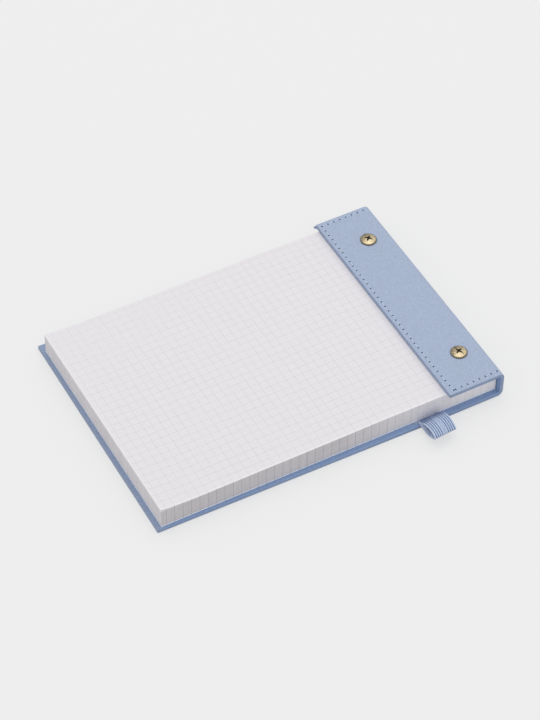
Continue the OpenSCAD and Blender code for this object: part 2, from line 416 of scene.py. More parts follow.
def new_group(name, inputs, outputs):
    """An empty shader node group; inputs are numbers with defaults, or vectors where it is None."""
    tree = bpy.data.node_groups.new(name, "ShaderNodeTree")
    for label, value in inputs.items():
        kind = "NodeSocketVector" if value is None else "NodeSocketFloat"
        socket = tree.interface.new_socket(label, in_out="INPUT", socket_type=kind)
        if value is not None:
            socket.default_value = value
    for label in outputs:
        tree.interface.new_socket(label, in_out="OUTPUT", socket_type="NodeSocketFloat")
    return tree, tree.nodes.new("NodeGroupInput").outputs, tree.nodes.new("NodeGroupOutput")


def use_group(tree, name, inputs):
    """The outputs of a shared node group placed in a material."""
    return add(tree, "ShaderNodeGroup", inputs, node_tree=bpy.data.node_groups[name]).outputs


def new_material(name):
    """A material with a Principled BSDF; returns it, its tree, the shader and Object coordinates."""
    made = bpy.data.materials.new(name)
    made.use_nodes = True
    tree = made.node_tree
    return made, tree, tree.nodes["Principled BSDF"], \
        tree.nodes.new("ShaderNodeTexCoord").outputs["Object"]


# Effects that more than one material uses

def grain_group():
    """Fine pebbled grain: a height for the bump, and a soft mottle of the colour."""
    tree, source, result = new_group(
        "Pebble grain", {"Vector": None, "Pebble": 1600.0, "Mottle": 1100.0}, ("Height", "Mottle"))
    pebbles = add(tree, "ShaderNodeTexVoronoi", {"Vector": source["Vector"],
                                                 "Scale": source["Pebble"]}, feature="SMOOTH_F1")
    creases = cloudy(tree, source["Vector"], source["Pebble"], 3.0)
    height = calc(tree, "ADD", calc(tree, "MULTIPLY", pebbles.outputs["Distance"], 0.6),
                  calc(tree, "MULTIPLY", creases, 0.4))
    mottle = cloudy(tree, source["Vector"], source["Mottle"], 4.0, roughness=0.62)
    feed(tree, result, {"Height": height, "Mottle": mottle})


def print_group():
    """A row of printed dotted lines: they lie a pitch apart in one coordinate and run along the other."""
    tree, source, result = new_group(
        "Dotted lines", {"Across": 0.0, "Along": 0.0, "Pitch": 5 * MM, "Width": 0.2 * MM,
                         "Dot Pitch": 1 * MM, "Solid": 0.0}, ("Mask",))
    op = partial(calc, tree)
    steps = op("DIVIDE", source["Across"], source["Pitch"])
    offset = op("SUBTRACT", op("FRACT", op("ADD", steps, 0.5)), 0.5)
    distance = op("MULTIPLY", op("ABSOLUTE", offset), source["Pitch"])
    half = op("MULTIPLY", source["Width"], 0.5)
    line = remap(tree, distance, op("MULTIPLY", half, 0.7), op("MULTIPLY", half, 1.3), 1.0, 0.0)
    beat = op("FRACT", op("DIVIDE", source["Along"], source["Dot Pitch"]))
    swing = op("ABSOLUTE", op("SUBTRACT", beat, 0.5))
    dots = remap(tree, swing, 0.24, 0.34, 1.0, 0.0)
    feed(tree, result, {"Mask": op("MULTIPLY", line, op("MAXIMUM", dots, source["Solid"]))})


def weave_group():
    """Fine twisted yarn: crossing waves that give a height, and a speckle for the colour."""
    tree, source, result = new_group(
        "Yarn weave", {"Vector": None, "Scale": 1500.0}, ("Height", "Speckle"))
    waves = [add(tree, "ShaderNodeTexWave", {"Vector": source["Vector"], "Scale": source["Scale"],
                                             "Distortion": 0.6},
                 wave_type="BANDS", bands_direction=axis).outputs["Fac"] for axis in ("X", "Y")]
    feed(tree, result, {"Height": calc(tree, "MAXIMUM", *waves),
                        "Speckle": cloudy(tree, source["Vector"], source["Scale"], 2.0)})


# Materials

def leatherette_material(settings):
    """Matt grained leatherette: pale on the wide faces, with painted shade on the flap's edges and the
    inside.
    """
    made, tree, shader, place = new_material("Leatherette")
    shade_tone = stored(tree, "shade_tone")
    height, mottle = use_group(tree, "Pebble grain", {"Vector": place})
    # The folded edges and the inside are painted darker than the wide faces: painted shade
    folded = mix_color(tree, remap(tree, shade_tone, 0, 0.5), settings.face_color, settings.shaded_edge_color)
    base = mix_color(tree, remap(tree, shade_tone, 0.5, 1), folded, settings.inner_shade_color)
    feed(tree, shader, {"Base Color": toned(tree, base, remap(tree, mottle, 0.3, 0.7, 0.90, 1.09)),
                        "Roughness": remap(tree, mottle, 0.3, 0.7, 0.52, 0.66),
                        "Specular IOR Level": 0.35})
    bump(tree, shader, height, 0.05 * MM, 0.6)
    return made


def lining_material(settings):
    """The lining: the same leatherette in the inside's darker colour, a painted shade."""
    made, tree, shader, place = new_material("Lining")
    height, mottle = use_group(tree, "Pebble grain", {"Vector": place, "Pebble": 1900.0})
    shade = remap(tree, mottle, 0.3, 0.7, 0.92, 1.04)
    feed(tree, shader, {"Base Color": toned(tree, settings.inner_shade_color, shade), "Roughness": 0.62})
    bump(tree, shader, height, 0.04 * MM, 0.5)
    return made


def board_material(settings):
    """Greyboard with flecks of fibre."""
    made, tree, shader, place = new_material("Greyboard")
    fleck = cloudy(tree, place, 900.0, 5.0)
    pale = tuple(1.35 * c for c in settings.board_color)
    base = mix_color(tree, remap(tree, fleck, 0.42, 0.62), settings.board_color, pale)
    feed(tree, shader, {"Base Color": base, "Roughness": 0.9})
    bump(tree, shader, fleck, 0.05 * MM, 0.6)
    return made


def thread_material(settings):
    """Twisted sewing thread, with painted shade in the low parts of its twist."""
    made, tree, shader, place = new_material("Sewing thread")
    height = use_group(tree, "Yarn weave", {"Vector": place, "Scale": 2400.0})["Height"]
    # The low parts of the twist are painted darker: painted shade
    dark = tuple(0.75 * c for c in settings.color)
    base = mix_color(tree, remap(tree, height, 0.2, 0.8), dark, settings.color)
    feed(tree, shader, {"Base Color": base, "Roughness": 0.6})
    bump(tree, shader, height, 0.04 * MM, 0.7)
    return made


def hole_material(settings):
    """The shaded inside of a needle hole."""
    made, tree, shader, _ = new_material("Needle hole")
    feed(tree, shader, {"Base Color": settings.hole_shade_color, "Roughness": 0.9,
                        "Specular IOR Level": 0.1})
    return made


def paper_material(settings):
    """Squared paper: the sheets, their cut edges, and the print, which bleeds off at the fore edge."""
    made, tree, shader, place = new_material("Squared paper")
    op, scale = partial(calc, tree), partial(remap, tree)
    turned = add(tree, "ShaderNodeMapping", {"Vector": place, "Location": PRINT_SHIFT,
                                             "Rotation": (0, 0, PRINT_TURN)})
    x, y, z = coordinates(tree, turned.outputs["Vector"])
    cut_x, cut_y, _ = coordinates(tree, place)
    facing = coordinates(tree, add(tree, "ShaderNodeNewGeometry").outputs["True Normal"])
    flat, long_side = (scale(op("ABSOLUTE", facing[axis]), 0.5, 0.7) for axis in ("Z", "Y"))

    def lines(across, along, width, solid=0.0):
        return use_group(tree, "Dotted lines", {
            "Across": across, "Along": along, "Width": width, "Solid": solid,
            "Pitch": settings.square, "Dot Pitch": settings.dot_pitch})["Mask"]

    # The print is thinner in soft clouds and fades towards the far corner of the free end
    ink = scale(cloudy(tree, place, 60.0, 2.0), 0.3, 0.7, 0.75, 1.0)
    far = scale(op("SUBTRACT", y, op("MULTIPLY", x, 0.35)), 50 * MM, 150 * MM, 1.0, 0.55)
    grid = op("MAXIMUM", lines(y, x, settings.line_width), lines(x, y, settings.line_width))
    grid = op("MULTIPLY", grid, ink, far, flat, PRINT_STRENGTH)
    bleed = op("MULTIPLY", lines(x, z, settings.bleed_width, 1.0), long_side, 0.58,
               scale(x, 120 * MM, 170 * MM, 1.0, 0.25))

    # The cut edges show fine layers and soft upright marks; they are painted darker than the sheets as
    # painted shade, with a painted highlight on the topmost sheets and painted light towards the spine
    # and on the short sides
    layers = cloudy(tree, place, 1.0, 3.0, (60, 60, 9000))
    marks = cloudy(tree, place, 1.0, 3.0, (420, 420, 25))
    marks_and_light = op("MULTIPLY", scale(layers, 0.3, 0.7, 0.96, 1.02), scale(marks, 0.3, 0.7, 0.96, 1.03),
                scale(z, BLOCK_TOP - 0.7 * MM, BLOCK_TOP - 0.1 * MM, 1.0, 1.22),
                scale(x, 95 * MM, 195 * MM, 0.98, 1.4), scale(long_side, 0.0, 1.0, 1.15, 1.0))
    foot = scale(z, PANEL + 0.6 * MM, PANEL + 1.0 * MM, 1.0, 0.0)
    cut_edge = mix_color(tree, foot, toned(tree, settings.shaded_edge_color, marks_and_light), settings.foot_color)

    # A fine pale line along the top sheet's near edge and free end is a painted highlight
    fibre = cloudy(tree, place, 700.0, 4.0)
    rim_highlight = op("MAXIMUM",
              scale(cut_y, -PAGE_HALF + 0.6 * MM, -PAGE_HALF + 1.2 * MM, 1.0, 0.0),
              scale(cut_x, PAGE_START + 0.3 * MM, PAGE_START + 0.8 * MM, 0.6, 0.0))
    sheet = toned(tree, settings.color, scale(fibre, 0.3, 0.7, 0.985, 1.01))
    sheet = mix_color(tree, rim_highlight, sheet, settings.rim_highlight_color)
    plain = mix_color(tree, flat, cut_edge, sheet)
    printed = mix_color(tree, op("MAXIMUM", grid, bleed), plain, settings.ink_color)
    feed(tree, shader, {"Base Color": printed, "Roughness": 0.85, "Specular IOR Level": 0.2})
    relief = op("ADD", op("MULTIPLY", fibre, 0.2), op("MULTIPLY", layers, 0.8))
    bump(tree, shader, relief, 0.03 * MM, 0.5)
    return made


def brass_material(settings):
    """Antique brass: rubbed bright in the middle of each head, dark at the rim and in the recess, and
    painted darker on one side as a painted reflection.
    """
    made, tree, shader, place = new_material("Antique brass")
    op, scale = partial(calc, tree), partial(remap, tree)
    x, y, z = coordinates(tree, place)
    side = op("SIGN", y)
    near = op("LESS_THAN", side, 0.0)
    aside = op("SUBTRACT", x, SCREW_X)
    along = op("SUBTRACT", y, op("MULTIPLY", side, SCREW_Y))
    radius = op("SQRT", op("ADD", op("MULTIPLY", aside, aside), op("MULTIPLY", along, along)))
    rim = scale(radius, 0.74 * HEAD_RADIUS, HEAD_RADIUS)

    # The recess is as deep as a point lies below the dome at its distance from the middle
    from_middle = op("DIVIDE", radius, HEAD_RADIUS)
    drop = op("MULTIPLY", from_middle, from_middle, DOME_HEIGHT)
    depth = op("SUBTRACT", HEAD_TOP, z, drop)
    sunk = op("MULTIPLY", scale(depth, 0.06 * MM, 0.25 * MM),
              op("LESS_THAN", radius, 0.55 * HEAD_RADIUS))

    # The recess's four arms in each head's own turn; a slipped driver has lengthened one arm of
    # the near screw
    turn = op("ADD", FAR_RECESS_TURN, op("MULTIPLY", near, NEAR_RECESS_TURN - FAR_RECESS_TURN))
    c, s = op("COSINE", turn), op("SINE", turn)
    u = op("ADD", op("MULTIPLY", c, aside), op("MULTIPLY", s, along))
    v = op("SUBTRACT", op("MULTIPLY", c, along), op("MULTIPLY", s, aside))
    thin = op("MINIMUM", op("ABSOLUTE", u), op("ABSOLUTE", v))
    width = op("SUBTRACT", ARM_HALF_WIDTH, op("MULTIPLY", radius, ARM_TAPER))
    arms = op("MULTIPLY", op("LESS_THAN", thin, width), op("LESS_THAN", radius, ARM_REACH))
    slipped = op("MULTIPLY", near, op("LESS_THAN", op("ABSOLUTE", u), SLIP_HALF_WIDTH),
                 op("LESS_THAN", v, 0.0), op("GREATER_THAN", v, -SLIP_REACH), 0.85)
    recess = op("MAXIMUM", sunk, arms, slipped)

    # The heads are painted darker on the side away from the pages' near end and towards the free end, a
    # painted reflection; random dark spots add to it
    shade_slope = op("SUBTRACT", op("MULTIPLY", along, 0.8), op("MULTIPLY", aside, 0.35))
    side_shade = scale(shade_slope, -0.9 * HEAD_RADIUS, 0.9 * HEAD_RADIUS, 0.0, 0.62)
    spots = scale(cloudy(tree, place, 900.0, 4.0), 0.45, 0.75, 0.0, 0.4)
    side_shade_and_spots = op("MINIMUM", op("ADD", side_shade, spots), 0.8)
    patina_and_shade = op("MAXIMUM", op("MULTIPLY", rim, 0.9), side_shade_and_spots, recess)
    feed(tree, shader, {
        "Base Color": mix_color(tree, patina_and_shade, settings.color, settings.patina_and_shade_color),
        "Roughness": scale(patina_and_shade, 0.0, 1.0, settings.roughness, 0.55), "Metallic": 1.0})
    bump(tree, shader, cloudy(tree, place, 1.0, 2.0, (500, 4000, 500)), 0.012 * MM, 0.4)
    return made


def elastic_material(settings):
    """Woven elastic: pale ribs and band, deep grooves darkened with painted shade, a fine weave, a root
    darkened with painted shade, and a deeper inside.
    """
    made, tree, shader, place = new_material("Ribbed elastic")
    height, speckle = use_group(tree, "Yarn weave", {"Vector": place, "Scale": 1500.0})
    fleck = remap(tree, speckle, 0.35, 0.65, -0.12, 0.12)
    # The root next to the block and the grooves between the ribs are painted darker: painted shade
    shown = calc(tree, "MULTIPLY", calc(tree, "ADD", stored(tree, "rib"), fleck),
                 remap(tree, stored(tree, "root_shade"), 0, 1, 0.25, 1.08))
    feed(tree, shader, {"Base Color": mix_color(tree, shown, settings.groove_shade_color, settings.color),
                        "Roughness": 0.7, "Sheen Weight": 0.15})
    bump(tree, shader, height, 0.03 * MM, 0.4)
    return made


# The case

# The lining's bed in the case: how deep it is, and how far it reaches past the lining
BED_DEPTH = SKIN + 0.03 * MM
BED_MARGIN = 0.05 * MM

# Depth to which the screws' heads press the flap, and its width round a head
PRESS_DEPTH, PRESS_WIDTH = 0.12 * MM, 1.2 * MM

# Height of the soft unevenness of the flap's face, and how fast it changes
UNEVEN_HEIGHT, UNEVEN_SCALE = 0.06 * MM, 90


def stitch_rows():
    """The corner points of the three rows of stitches on the flap: near end, free edge and far end."""
    near_y, far_y = -HALF_WIDTH + 2.7 * MM, HALF_WIDTH - 3 * MM
    edge_x = FLAP_X + 2.6 * MM
    return [
        [(SPINE_X - 3.2 * MM, near_y + 0.7 * MM), (edge_x + 2.5 * MM, near_y)],
        [(edge_x + 1.3 * MM, near_y), (edge_x + 0.7 * MM, near_y + 10 * MM),
         (edge_x + 0.1 * MM, near_y + 46 * MM), (edge_x, far_y - 4.3 * MM)],
        [(edge_x + 0.1 * MM, far_y), (SPINE_X - 5 * MM, far_y + 0.4 * MM)],
    ]


def row_distance(x, y):
    """Distance from each point of the flap to the nearest row of stitches."""
    nearest = np.full(np.shape(x), 1.0)
    for row in stitch_rows():
        for (ax, ay), (bx, by) in zip(row, row[1:]):
            along = np.array([bx - ax, by - ay])
            t = ((x - ax) * along[0] + (y - ay) * along[1]) / (along @ along)
            t = np.clip(t, 0, 1)
            nearest = np.minimum(nearest, np.hypot(x - ax - t * along[0], y - ay - t * along[1]))
    return nearest


def along_row(middle):
    """Close places on both sides of a row of stitches."""
    return spread(middle - 1.6 * MM, middle + 1.6 * MM, 0.32 * MM)


def arc(centre_x, centre_z, radius, start, end, steps, side=1):
    """Points of an arc with their outward normals; side -1 is a hollow corner."""
    places = []
    for angle in np.radians(np.linspace(start, end, steps + 1)):
        c, s = math.cos(angle), math.sin(angle)
        places.append((centre_x + radius * c, centre_z + radius * s, side * c, side * s))
    return places


def case_section(settings):
    """The closed outline of the case in X and Z, as rows of x, z, normal x and normal z."""
    e, c, r = settings.edge_radius, settings.inner_radius, CORNER_RADIUS
    inner_x = SPINE_X - PANEL
    flap_places = sorted(spread(FLAP_X + e, SPINE_X - r, 1.3 * MM)
                         + along_row(FLAP_X + 2.9 * MM), reverse=True)
    lining_edge = [LINING_START + 0.1 * MM, LINING_START]
    flap_lining = [FLAP_LINING_START + 0.1 * MM, FLAP_LINING_START]
    section = []

    def straight(points, normal):
        section.extend((x, z, *normal) for x, z in points)

    straight([(x, 0) for x in spread(FREE_X + e, SPINE_X - r, 5 * MM)], (0, -1))
    section.extend(arc(SPINE_X - r, r, r, -90, 0, 10))
    straight([(SPINE_X, z) for z in spread(r, CASE_HEIGHT - r, 2 * MM)], (1, 0))
    section.extend(arc(SPINE_X - r, CASE_HEIGHT - r, r, 0, 90, 10))
    straight([(x, CASE_HEIGHT) for x in flap_places], (0, 1))
    section.extend(arc(FLAP_X + e, CASE_HEIGHT - e, e, 90, 180, 6))
    section.extend(arc(FLAP_X + e, BLOCK_TOP + e, e, 180, 270, 6))
    straight([(x, BLOCK_TOP) for x in sorted(spread(FLAP_X + e, inner_x - c, 4 * MM)
                                              + flap_lining)], (0, -1))
    section.extend(arc(inner_x - c, BLOCK_TOP - c, c, 90, 0, 4, -1))
    straight([(inner_x, z) for z in spread(BLOCK_TOP - c, PANEL + c, 3 * MM)], (-1, 0))
    section.extend(arc(inner_x - c, PANEL + c, c, 0, -90, 4, -1))
    straight([(x, PANEL) for x in sorted(spread(FREE_X + e, inner_x - c, 5 * MM)
                                         + lining_edge, reverse=True)], (0, 1))
    section.extend(arc(FREE_X + e, PANEL - e, e, 90, 180, 6))
    section.extend(arc(FREE_X + e, e, e, 180, 270, 6))

    kept = [section[0]]
    for point in section[1:]:
        if math.dist(point[:2], kept[-1][:2]) > CLOSE:
            kept.append(point)
    if math.dist(kept[-1][:2], kept[0][:2]) < CLOSE:
        kept.pop()
    return np.array(kept)


def case_layers(settings):
    """The places across the case, each with how far the section is drawn in there."""
    e = settings.edge_radius
    turns = [math.radians(a) for a in (90, 72, 54, 36, 18, 0)]
    ends = [(HALF_WIDTH - e + e * math.sin(a), e * (1 - math.cos(a))) for a in turns]
    inner = spread(-HALF_WIDTH + e, HALF_WIDTH - e, 1.6 * MM)[1:-1]
    inner += along_row(-HALF_WIDTH + 3 * MM) + along_row(HALF_WIDTH - 2.8 * MM)
    for y in (LINING_HALF, LINING_HALF + 0.1 * MM):
        inner += [y, -y]
    inner = sorted(inner)
    spaced = [y for y, following in zip(inner, inner[1:] + [1]) if following - y > 0.03 * MM]
    return [(-y, drawn) for y, drawn in ends] + [(y, 0.0) for y in spaced] \
        + [(y, drawn) for y, drawn in reversed(ends)]


def lie(x, y):
    """Turns the back's free edge and long edges as they lie under the block."""
    run = np.maximum(0, PIVOT_X - x)
    share = run / (PIVOT_X - FREE_X)
    moved_y = y + run * math.tan(BACK_TURN)
    return x + moved_y * math.tan(FREE_EDGE_TURN) * share, moved_y


def case_shade_tones(section, end):
    """The painted shade of each point, by the way it faces, which is 0 on the outer faces, 0.5 on folded
    edges and 1 inside.
    """
    x, z, normal_x, normal_z = section.T
    outer = (z < CORNER_RADIUS) & (normal_z < -0.5)
    outer |= (x > SPINE_X - CORNER_RADIUS) & (normal_x >= 0)
    outer |= (z > CASE_HEIGHT - CORNER_RADIUS) & (normal_z > 0.5)
    shade_tone = np.where(outer, 0.0, np.where(x < PAGE_START, 0.5, 1.0))
    fold = (z > BLOCK_TOP) & (normal_x < -0.01)
    shade_tone = np.where(fold, 0.5 * ramp(-normal_x, 0.1, 0.6), shade_tone)
    return np.maximum(shade_tone, 0.5 * ramp(end, 0.02, 0.35)), outer


def case_mesh(settings):
    """The leatherette case as one closed slab that is bent twice at the spine."""
    section, layers = case_section(settings), case_layers(settings)
    base_x, base_z, normal_x, normal_z = section.T
    points, shade_tones = [], []
    for y, drawn in layers:
        shade_tone, outer = case_shade_tones(section, drawn / settings.edge_radius)
        shade_tones.extend(shade_tone)

        # The lining lies in a shallow bed of the inner faces
        inner = ~outer & (np.abs(normal_x) + np.abs(normal_z) > 0.99)
        inner &= (base_z >= PANEL - CLOSE) & (base_z <= BLOCK_TOP + CLOSE)
        bed_start = np.where(base_z > CASE_HEIGHT / 2, FLAP_LINING_START, LINING_START) + BED_MARGIN
        bed = inner & (base_x > bed_start) & (abs(y) < LINING_HALF + BED_MARGIN)
        sunk = drawn + np.where(bed, BED_DEPTH, 0.0)

        # The thread and the screws' heads pull the flap's face down, and it is softly uneven
        face = (base_z > CASE_HEIGHT - CLOSE) & (drawn == 0)
        across = np.full(len(section), y)
        away = row_distance(base_x, across)
        pulled = settings.groove_depth * np.exp(-(away / settings.groove_width) ** 2)
        head = np.hypot(base_x - SCREW_X, abs(y) - SCREW_Y)
        pressed = PRESS_DEPTH * np.exp(-(np.maximum(0, head - HEAD_RADIUS) / PRESS_WIDTH) ** 2)
        soft = UNEVEN_HEIGHT * np.array([noise.noise(Vector((x * UNEVEN_SCALE, y * UNEVEN_SCALE, 3.1)))
                                         for x in base_x])
        z = base_z - normal_z * sunk - np.where(face, pulled + pressed - np.minimum(0, soft), 0)
        points.extend(zip(*lie(base_x - normal_x * sunk, across), z))
    mesh = mesh_from("Leatherette case", points, stack_faces(len(layers), len(section)))
    float_attribute(mesh, "shade_tone", shade_tones)
    return mesh


def ear_mesh():
    """The folded ear of leatherette that sticks out under the flap's far corner at the pages."""
    low = BLOCK_TOP + 0.1 * MM
    outline = smooth_path([(2.4, -0.4), (1.5, 0.0), (0.4, 0.4), (-0.5, 0.6), (-1.05, 0.3),
                           (-1.1, -0.3), (-0.6, -0.9), (0.4, -1.2), (1.8, -0.9)], 4) * MM
    middle = outline.mean(axis=0)
    rings = [(0.0, 0.75), (0.12, 0.96), (0.5, 1.0), (0.85, 0.93), (1.05, 0.7)]
    points = []
    for rise, size in rings:
        ring = middle + (outline - middle) * size
        points += [(FLAP_X + x, HALF_WIDTH + y, low + rise * MM) for x, y in ring]
    mesh = mesh_from("Corner ear", points, stack_faces(len(rings), len(outline)), 60)
    # The ear gets the folded edges' painted shade
    float_attribute(mesh, "shade_tone", np.full(len(points), 0.5))
    return mesh


def cone(mesh, x, y, low, high, low_radius, high_radius, sides):
    """Adds an upright cone stub to a mesh, as a cutter."""
    place = Matrix.Translation((x, y, (low + high) / 2))
    bmesh.ops.create_cone(mesh, cap_ends=True, segments=sides, radius1=low_radius,
                          radius2=high_radius, depth=high - low, matrix=place)


def needle_places(pitch):
    """The needle holes, evenly spaced along each row of stitches."""
    rows = []
    for row in stitch_rows():
        corners = np.array(row)
        run = np.concatenate([[0], np.cumsum(np.linalg.norm(np.diff(corners, axis=0), axis=1))])
        places = np.linspace(0, run[-1], round(run[-1] / pitch) + 1)
        rows.append([(float(np.interp(p, run, corners[:, 0])),
                      float(np.interp(p, run, corners[:, 1]))) for p in places])
    return rows


def cut_case(case, stitches):
    """Cuts the needle holes and the seats of the posts' heads and of the elastic into the case."""
    tools = bmesh.new()
    for row in needle_places(stitches.pitch):
        for x, y in row:
            radius = stitches.hole_diameter / 2
            cone(tools, x, y, CASE_HEIGHT - stitches.hole_depth, CASE_HEIGHT + 0.3 * MM,
                 0.85 * radius, 1.05 * radius, 12)
    for face in tools.faces:
        face.material_index = 1
    seat_top, seat_radius = POST_LOW.z + POST_HEAD_HEIGHT, HEAD_RADIUS + 0.1 * MM
    for y in (-SCREW_Y, SCREW_Y):
        cone(tools, SCREW_X, y, -1 * MM, seat_top, seat_radius, seat_radius, 64)
    low = Vector((LOOP_LOW.x, -PAGE_HALF - SEAT_REACH, LOOP_LOW.z)) - Vector((0.05, 0, 0.02)) * MM
    high = Vector((LOOP_HIGH.x + 0.05 * MM, LOOP_HIGH.y, PANEL + 1 * MM))
    bmesh.ops.create_cube(tools, size=1, matrix=Matrix.Translation((low + high) / 2)
                          @ Matrix.Diagonal(high - low).to_4x4())
    mesh = bpy.data.meshes.new("Cutters")
    tools.to_mesh(mesh)
    tools.free()
    cutter = new_object("cutters", mesh)
    for material in (case.data.materials[0], hole_material(stitches)):
        mesh.materials.append(material)
    cut = case.modifiers.new("Cut", "BOOLEAN")
    cut.operation, cut.solver, cut.object = "DIFFERENCE", "EXACT", cutter
    cut.material_mode = "TRANSFER"
    result = evaluated_mesh(case)
    case.modifiers.clear()
    case.data = result
    smooth(result)
    bpy.data.objects.remove(cutter)


def stitch_tree():
    """Geometry Nodes: a thread bridges each edge of a guide mesh that joins the needle holes."""
    tree = bpy.data.node_groups.new("Flap stitches", "GeometryNodeTree")
    for label, side, kind in (("Geometry", "INPUT", "Geometry"), ("Thread Diameter", "INPUT", "Float"),
                              ("Gap", "INPUT", "Float"), ("Thread", "INPUT", "Material"),
                              ("Geometry", "OUTPUT", "Geometry")):
        tree.interface.new_socket(label, in_out=side, socket_type="NodeSocket" + kind)
    source, result = tree.nodes.new("NodeGroupInput").outputs, tree.nodes.new("NodeGroupOutput")

    ends = add(tree, "GeometryNodeInputMeshEdgeVertices")
    span = add(tree, "ShaderNodeVectorMath", {0: ends.outputs["Position 2"],
                                              1: ends.outputs["Position 1"]},
               operation="SUBTRACT")
    known = add(tree, "GeometryNodeCaptureAttribute", {"Geometry": source["Geometry"]},
                domain="EDGE")
    known.capture_items.new("VECTOR", "Span")
    feed(tree, known, {"Span": span.outputs["Vector"]})
    middles = add(tree, "GeometryNodeMeshToPoints", {"Mesh": known.outputs["Geometry"]},
                  mode="EDGES")
    run = add(tree, "ShaderNodeVectorMath", {0: known.outputs["Span"]}, operation="LENGTH")
    turn = add(tree, "FunctionNodeAlignRotationToVector", {"Vector": known.outputs["Span"]},
               axis="X")
    reach = calc(tree, "SUBTRACT", run.outputs["Value"], source["Gap"])
    size = add(tree, "ShaderNodeCombineXYZ", {"X": reach, "Y": source["Thread Diameter"],
                                              "Z": source["Thread Diameter"]})

    arch = add(tree, "GeometryNodeCurvePrimitiveBezierSegment", {
        "Resolution": 10, "Start": (-0.5, 0, -0.05), "Start Handle": (-0.25, 0, 0.03),
        "End Handle": (0.25, 0, 0.03), "End": (0.5, 0, -0.05)})
    circle = add(tree, "GeometryNodeCurvePrimitiveCircle", {"Resolution": 8, "Radius": 0.5})
    thread = add(tree, "GeometryNodeCurveToMesh", {"Curve": arch.outputs["Curve"],
                                                   "Profile Curve": circle.outputs["Curve"],
                                                   "Fill Caps": True})
    placed = add(tree, "GeometryNodeInstanceOnPoints", {
        "Points": middles.outputs["Points"], "Instance": thread.outputs["Mesh"],
        "Rotation": turn.outputs["Rotation"], "Scale": size.outputs["Vector"]})
    real = add(tree, "GeometryNodeRealizeInstances", {"Geometry": placed.outputs["Instances"]})
    coated = add(tree, "GeometryNodeSetMaterial", {"Geometry": real.outputs["Geometry"],
                                                   "Material": source["Thread"]})
    feed(tree, result, {"Geometry": coated.outputs["Geometry"]})
    return tree


def set_input(modifier, label, value):
    """Sets a Geometry Nodes modifier's input by its socket's identifier."""
    for item in modifier.node_group.interface.items_tree:
        if item.item_type == "SOCKET" and item.in_out == "INPUT" and item.name == label:
            modifier[item.identifier] = value
            return
    raise KeyError(label)


class NOTEBOOK_OT_case(bpy.types.Operator):
    """Builds the leatherette case with its folded edges, and finishes the boards and the lining"""
    bl_idname = "notebook.case"
    bl_label = "Case"

    def execute(self, context):
        settings = context.scene.notebook
        case = new_object("leatherette_case", case_mesh(settings.case))
        case.data.materials.append(leatherette_material(settings.case))
        cut_case(case, settings.stitch)
        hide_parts("cover_skin")
        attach(case, BODY)
        ear = new_object("corner_ear", ear_mesh())
        ear.data.materials.append(case.data.materials[0])
        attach(ear, BODY)
        board = board_material(settings.case)
        for name in ("back_board", "spine_board", "flap_board"):
            paint(name, board)
        paint("lining", lining_material(settings.case))
        return {"FINISHED"}


class NOTEBOOK_OT_stitching(bpy.types.Operator):
    """Sews the rows of stitches round the flap"""
    bl_idname = "notebook.stitching"
    bl_label = "Stitching"

    def execute(self, context):
        settings = context.scene.notebook.stitch
        level = CASE_HEIGHT - 0.1 * MM
        guide = bpy.data.meshes.new("Stitch guide")
        points, edges = [], []
        for row in needle_places(settings.pitch):
            edges += [(len(points) + k, len(points) + k + 1) for k in range(len(row) - 1)]
            points += [(x, y, level) for x, y in row]
        guide.from_pydata(points, edges, [])
        sewing = new_object("stitching", guide)
        nodes = sewing.modifiers.new("Stitches", "NODES")
        nodes.node_group = stitch_tree()
        set_input(nodes, "Thread Diameter", settings.thread_diameter)
        set_input(nodes, "Gap", settings.gap)
        set_input(nodes, "Thread", thread_material(settings))
        result = evaluated_mesh(sewing)
        sewing.modifiers.clear()
        sewing.data = result
        smooth(result, 60)
        if len(result.polygons) < len(edges):
            raise RuntimeError("the stitches weren't made")
        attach(sewing, BODY)
        return {"FINISHED"}


# The paper block

# Number of steps in the cut edges
SHEET_STEPS = 42


def block_rise(x, y, settings):
    """How far the top sheet lies above the clamped block."""
    free = np.maximum(0, 1 - (x - PAGE_START) / settings.free_end_stretch)
    near = 1 - ramp(y, -PAGE_HALF, -PAGE_HALF + 90 * MM)
    rise = (settings.free_end_rise + settings.near_corner_rise * near) * free ** 2
    wave_x, wave_half = PIVOT_X - 30 * MM, 30 * MM
    swing = np.clip((x - wave_x) / wave_half, -1, 1)
    return rise + settings.wave_height * (1 + np.cos(np.pi * swing)) / 2


